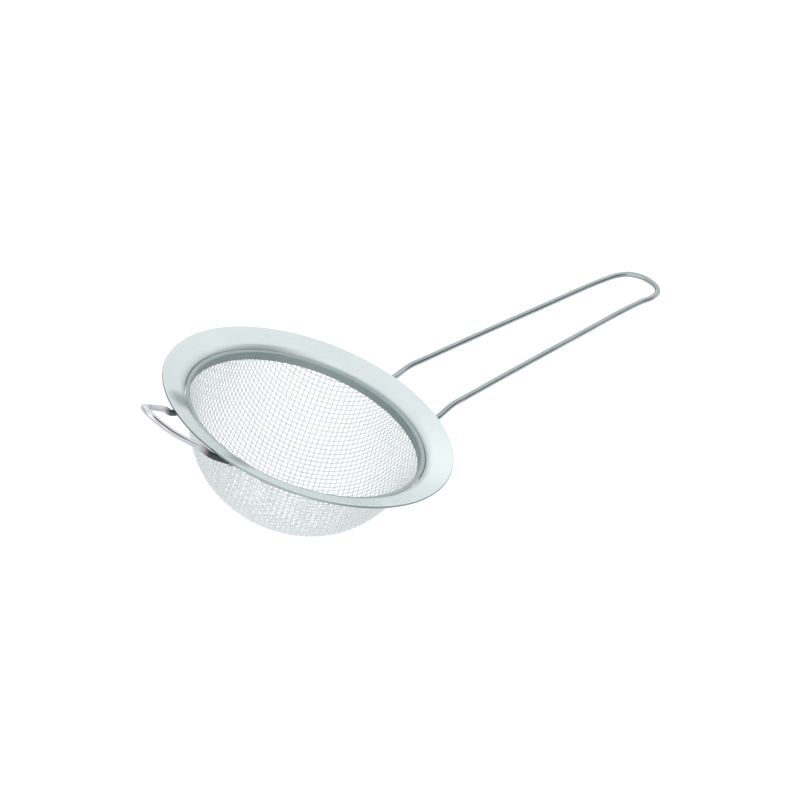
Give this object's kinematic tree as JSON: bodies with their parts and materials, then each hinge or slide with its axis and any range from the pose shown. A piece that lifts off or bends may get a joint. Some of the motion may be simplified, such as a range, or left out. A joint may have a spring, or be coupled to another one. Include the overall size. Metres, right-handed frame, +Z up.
{
  "type": "tea strainer",
  "caption": "Fine wire-mesh tea strainer: round bowl in a wide steel rim, with a long wire loop handle and a wire hook opposite to rest on a cup.",
  "frame": {"origin": "centre of the small flat where the bowl rests on the table", "axes": "+Z up, away from the table; +X along the handle, away from the bowl"},
  "size_m": [0.2084, 0.0958, 0.0799],
  "materials": {
    "rim": "satin, pressed sheet stainless steel",
    "clamp_band": "satin sheet stainless steel",
    "mesh_bowl": "plain-woven stainless steel wire",
    "handle_loop": "bright drawn stainless steel wire",
    "rest_hook": "polished stainless steel wire",
    "handle_weld_left": "dull weld bead",
    "handle_weld_right": "dull weld bead",
    "hook_weld_left": "dull weld bead",
    "hook_weld_right": "dull weld bead"
  },
  "bodies": {
    "root": {"rim": "rim", "clamp_band": "clamp_band", "mesh_bowl": "mesh_bowl", "handle_loop": "handle_loop", "rest_hook": "rest_hook", "handle_weld_left": "handle_weld_left", "handle_weld_right": "handle_weld_right", "hook_weld_left": "hook_weld_left", "hook_weld_right": "hook_weld_right"}
  },
  "joints": []
}
